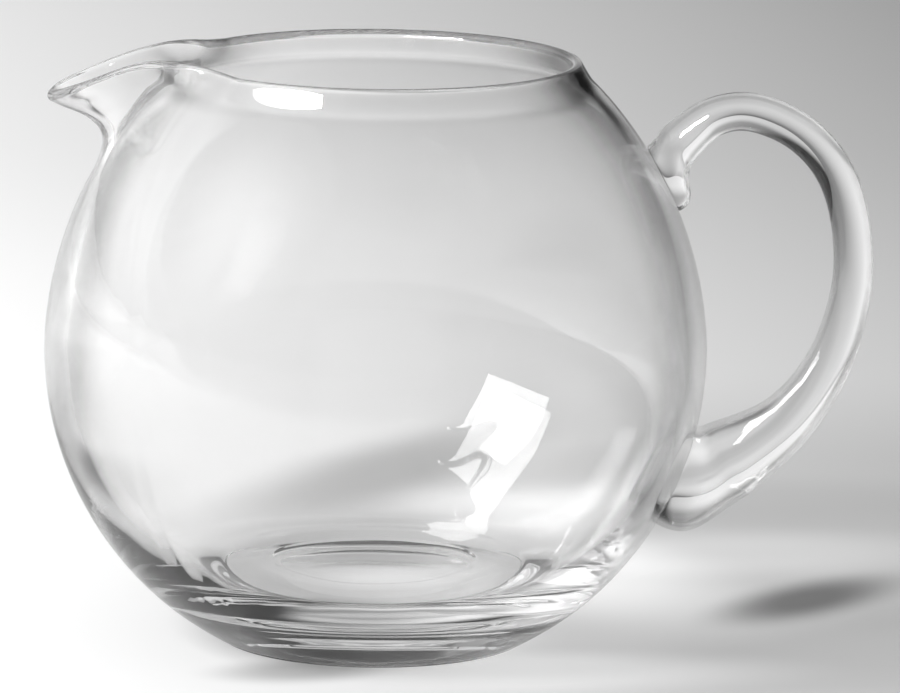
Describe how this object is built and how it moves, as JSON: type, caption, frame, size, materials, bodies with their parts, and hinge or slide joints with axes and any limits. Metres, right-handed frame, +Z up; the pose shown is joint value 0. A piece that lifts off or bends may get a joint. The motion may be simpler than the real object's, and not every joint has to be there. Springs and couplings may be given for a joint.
{
  "type": "cocktail pitcher",
  "caption": "Round clear-glass pitcher with a wide mouth, a pulled pouring lip and a solid drawn-glass side handle, for mixing and serving drinks.",
  "frame": {"origin": "centre of the ground foot, on the surface the pitcher stands on", "axes": "+Z up through the mouth, +X towards the handle, -X towards the pouring lip, XZ is the plane of symmetry"},
  "size_m": [0.2257, 0.1798, 0.1608],
  "materials": {
    "blown_glass": "clear colourless soda-lime glass, fire polished, thick floor",
    "drawn_glass": "clear colourless solid glass rod, fire polished"
  },
  "bodies": {
    "root": {"globe": "blown_glass", "handle": "drawn_glass"}
  },
  "joints": []
}
